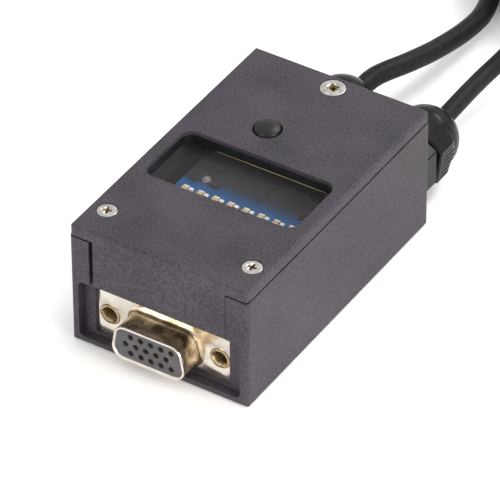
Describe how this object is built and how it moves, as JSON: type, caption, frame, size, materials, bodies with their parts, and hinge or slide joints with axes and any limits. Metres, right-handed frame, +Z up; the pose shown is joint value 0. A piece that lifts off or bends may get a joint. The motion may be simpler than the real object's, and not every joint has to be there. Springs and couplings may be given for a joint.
{
  "type": "sensor interface module",
  "caption": "Palm-size plastic interface box with a D-sub socket, LED window, push button and two coiled gland cables ending in screw plugs.",
  "frame": {"origin": "centre of the case underside, where it rests", "axes": "+Z up; -Y the end with the D-sub socket; +Y the end with the cable glands; +X to the right seen from the socket end with the window up"},
  "size_m": [0.0618, 0.2146, 0.0288],
  "materials": {
    "case_plastic": "fine matt moulded texture, charcoal",
    "button_plastic": "satin",
    "screw_steel": "zinc plated",
    "clear_window": "clear polished",
    "board_laminate": "blue solder mask",
    "led_body": "clear resin on white",
    "chip_plastic": "moulded",
    "ceramic_chip": "ceramic",
    "switch_steel": "sprung sheet",
    "white_plastic": "moulded",
    "plated_steel": "nickel plated",
    "dark_insulator": "moulded",
    "gold_contact": "gold flash",
    "ribbon_jacket": "extruded",
    "gland_plastic": "satin nylon",
    "seal_rubber": "soft",
    "core_insulation": "extruded",
    "cable_jacket": "satin flexible sheath"
  },
  "bodies": {
    "case": {"case_base": "case_plastic", "lid": "case_plastic", "lid_screws_front": "screw_steel", "lid_screw_rear": "screw_steel", "window_pane": "clear_window", "pcb": "board_laminate", "pcb_screws": "screw_steel", "status_leds": "led_body", "led_resistors": "chip_plastic", "side_lamps": "led_body", "controller_chip": "chip_plastic", "voltage_regulator": "chip_plastic", "chip_capacitors": "ceramic_chip", "switch_body": "chip_plastic", "switch_dome": "switch_steel", "connector_shell": "plated_steel", "connector_insulator": "dark_insulator", "connector_contacts": "gold_contact", "connector_inserts": "plated_steel", "ribbon_cable": "ribbon_jacket", "ribbon_header": "chip_plastic", "left_gland_body": "gland_plastic", "left_gland_gasket": "seal_rubber", "left_gland_locknut": "gland_plastic", "left_gland_seal": "seal_rubber", "left_gland_nut": "gland_plastic", "left_cable_tail": "cable_jacket", "left_cable_cores": "core_insulation", "left_cable_header": "white_plastic", "right_gland_body": "gland_plastic", "right_gland_gasket": "seal_rubber", "right_gland_locknut": "gland_plastic", "right_gland_seal": "seal_rubber", "right_gland_nut": "gland_plastic", "right_cable_tail": "cable_jacket", "right_cable_cores": "core_insulation", "right_cable_header": "white_plastic", "left_cable": "cable_jacket", "left_cable_coil": "cable_jacket", "left_cable_end": "cable_jacket", "left_plug_body": "cable_jacket", "left_plug_insert": "dark_insulator", "left_plug_pins": "gold_contact", "right_cable": "cable_jacket", "right_cable_coil": "cable_jacket", "right_cable_end": "cable_jacket", "right_plug_body": "cable_jacket", "right_plug_insert": "dark_insulator", "right_plug_pins": "gold_contact", "cable_tie": "gland_plastic"},
    "button": {"button_cap": "button_plastic", "switch_plunger": "white_plastic"},
    "left_coupling_nut": {"left_plug_nut": "plated_steel"},
    "right_coupling_nut": {"right_plug_nut": "plated_steel"}
  },
  "joints": [
    {"name": "button_press", "type": "slide", "parent": "case", "child": "button", "axis": [0, 0, -1], "range_m": [0, 0.0005], "stiffness_N_per_m": 400, "springref_m": -0.002},
    {"name": "left_nut_turn", "type": "hinge", "parent": "case", "child": "left_coupling_nut", "pos_m": [-0.0159, 0.17048, 0.00556], "axis": [0, 0.9994, -0.0349], "continuous": true},
    {"name": "right_nut_turn", "type": "hinge", "parent": "case", "child": "right_coupling_nut", "pos_m": [0.0359, 0.17009, 0.00621], "axis": [0, 0.9848, -0.1736], "continuous": true}
  ]
}
